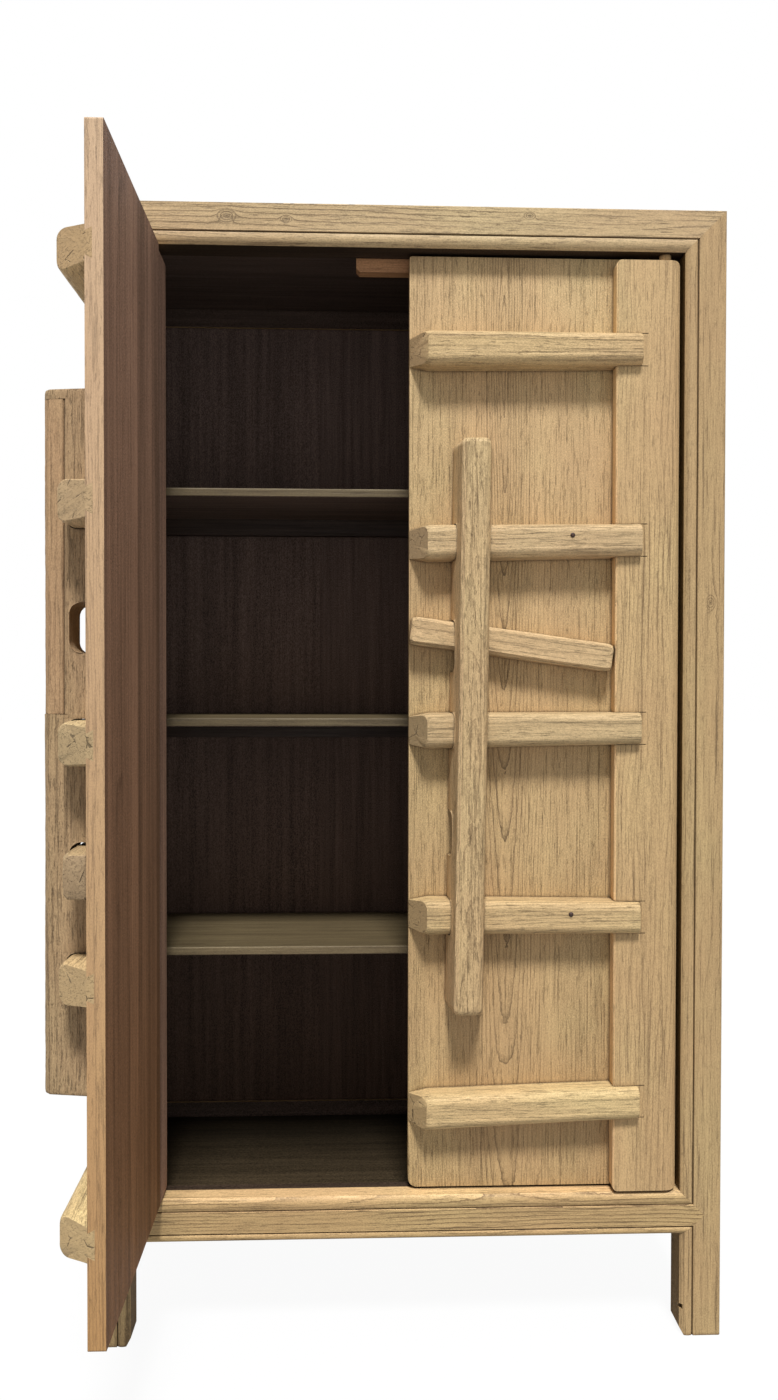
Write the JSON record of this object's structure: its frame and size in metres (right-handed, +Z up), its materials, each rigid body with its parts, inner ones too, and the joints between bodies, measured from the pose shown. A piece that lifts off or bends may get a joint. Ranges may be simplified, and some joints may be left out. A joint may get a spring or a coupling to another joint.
{
  "type": "two-door wooden storage cabinet",
  "caption": "Tall rustic wooden storage cabinet with shelves and plank doors on wooden pivots, stiffened by dovetailed battens and barred shut by sliding wooden bars in upright keepers.",
  "frame": {"origin": "on the floor, on the cabinet's centre line, halfway between the open door's free edge and the back (bottom centre of the whole box as posed)", "axes": "+X along the front to the right as seen from the front, +Y from the front to the back, +Z up"},
  "size_m": [1.12, 0.9096, 2],
  "materials": {
    "frame_timber": "bleached, brushed and waxed, satin",
    "door_timber": "bleached, brushed plank with open grain, matte",
    "batten_timber": "hewn and bleached, matte",
    "weathered_hardwood": "weathered, pitted and cracked, matte",
    "stained_interior_timber": "very dark brown stain, satin",
    "iron_nail": "blackened, matte"
  },
  "bodies": {
    "carcass": {"back_board_left": "stained_interior_timber", "back_board_middle": "stained_interior_timber", "back_board_right": "stained_interior_timber", "door_stop_block": "stained_interior_timber", "floor_bearer": "stained_interior_timber", "floor_panel": "stained_interior_timber", "front_bottom_rail": "frame_timber", "front_top_rail": "frame_timber", "left_front_post": "frame_timber", "left_rear_post": "frame_timber", "left_shelf_bearer_lower": "stained_interior_timber", "left_shelf_bearer_middle": "stained_interior_timber", "left_shelf_bearer_upper": "stained_interior_timber", "left_side_bottom_rail": "frame_timber", "left_side_panel": "frame_timber", "left_side_top_rail": "frame_timber", "lower_shelf": "stained_interior_timber", "middle_shelf": "stained_interior_timber", "rear_bottom_rail": "frame_timber", "rear_shelf_bearer_lower": "stained_interior_timber", "rear_shelf_bearer_middle": "stained_interior_timber", "rear_shelf_bearer_upper": "stained_interior_timber", "rear_top_rail": "frame_timber", "right_front_post": "frame_timber", "right_rear_post": "frame_timber", "right_shelf_bearer_lower": "stained_interior_timber", "right_shelf_bearer_middle": "stained_interior_timber", "right_shelf_bearer_upper": "stained_interior_timber", "right_side_bottom_rail": "frame_timber", "right_side_panel": "frame_timber", "right_side_top_rail": "frame_timber", "top_panel": "stained_interior_timber", "upper_shelf": "stained_interior_timber"},
    "left_door": {"left_door_batten_high": "batten_timber", "left_door_batten_low": "batten_timber", "left_door_batten_lower": "batten_timber", "left_door_batten_middle": "batten_timber", "left_door_batten_upper": "batten_timber", "left_door_hinge_stile": "door_timber", "left_door_keeper": "weathered_hardwood", "left_door_keeper_strip": "weathered_hardwood", "left_door_nails": "iron_nail", "left_door_plank": "door_timber"},
    "right_door": {"right_door_batten_high": "batten_timber", "right_door_batten_low": "batten_timber", "right_door_batten_lower": "batten_timber", "right_door_batten_middle": "batten_timber", "right_door_batten_upper": "batten_timber", "right_door_hinge_stile": "door_timber", "right_door_keeper": "weathered_hardwood", "right_door_nails": "iron_nail", "right_door_plank": "door_timber"},
    "lower_bar": {"lower_sliding_bar": "weathered_hardwood"},
    "upper_bar": {"upper_sliding_bar": "weathered_hardwood"}
  },
  "joints": [
    {"name": "left_door_swing", "type": "hinge", "parent": "carcass", "child": "left_door", "pos_m": [-0.458, 0.00175, 1], "axis": [0, 0, 1], "range_deg": [-5, 90]},
    {"name": "right_door_swing", "type": "hinge", "parent": "carcass", "child": "right_door", "pos_m": [0.458, 0.00175, 1], "axis": [0, 0, 1], "range_deg": [0, 95]},
    {"name": "lower_bar_slide", "type": "slide", "parent": "left_door", "child": "lower_bar", "axis": [0, -1, 0], "range_m": [0, 0.15]},
    {"name": "upper_bar_slide", "type": "slide", "parent": "right_door", "child": "upper_bar", "axis": [-0.9988, 0, -0.0499], "range_m": [0, 0.15]}
  ]
}
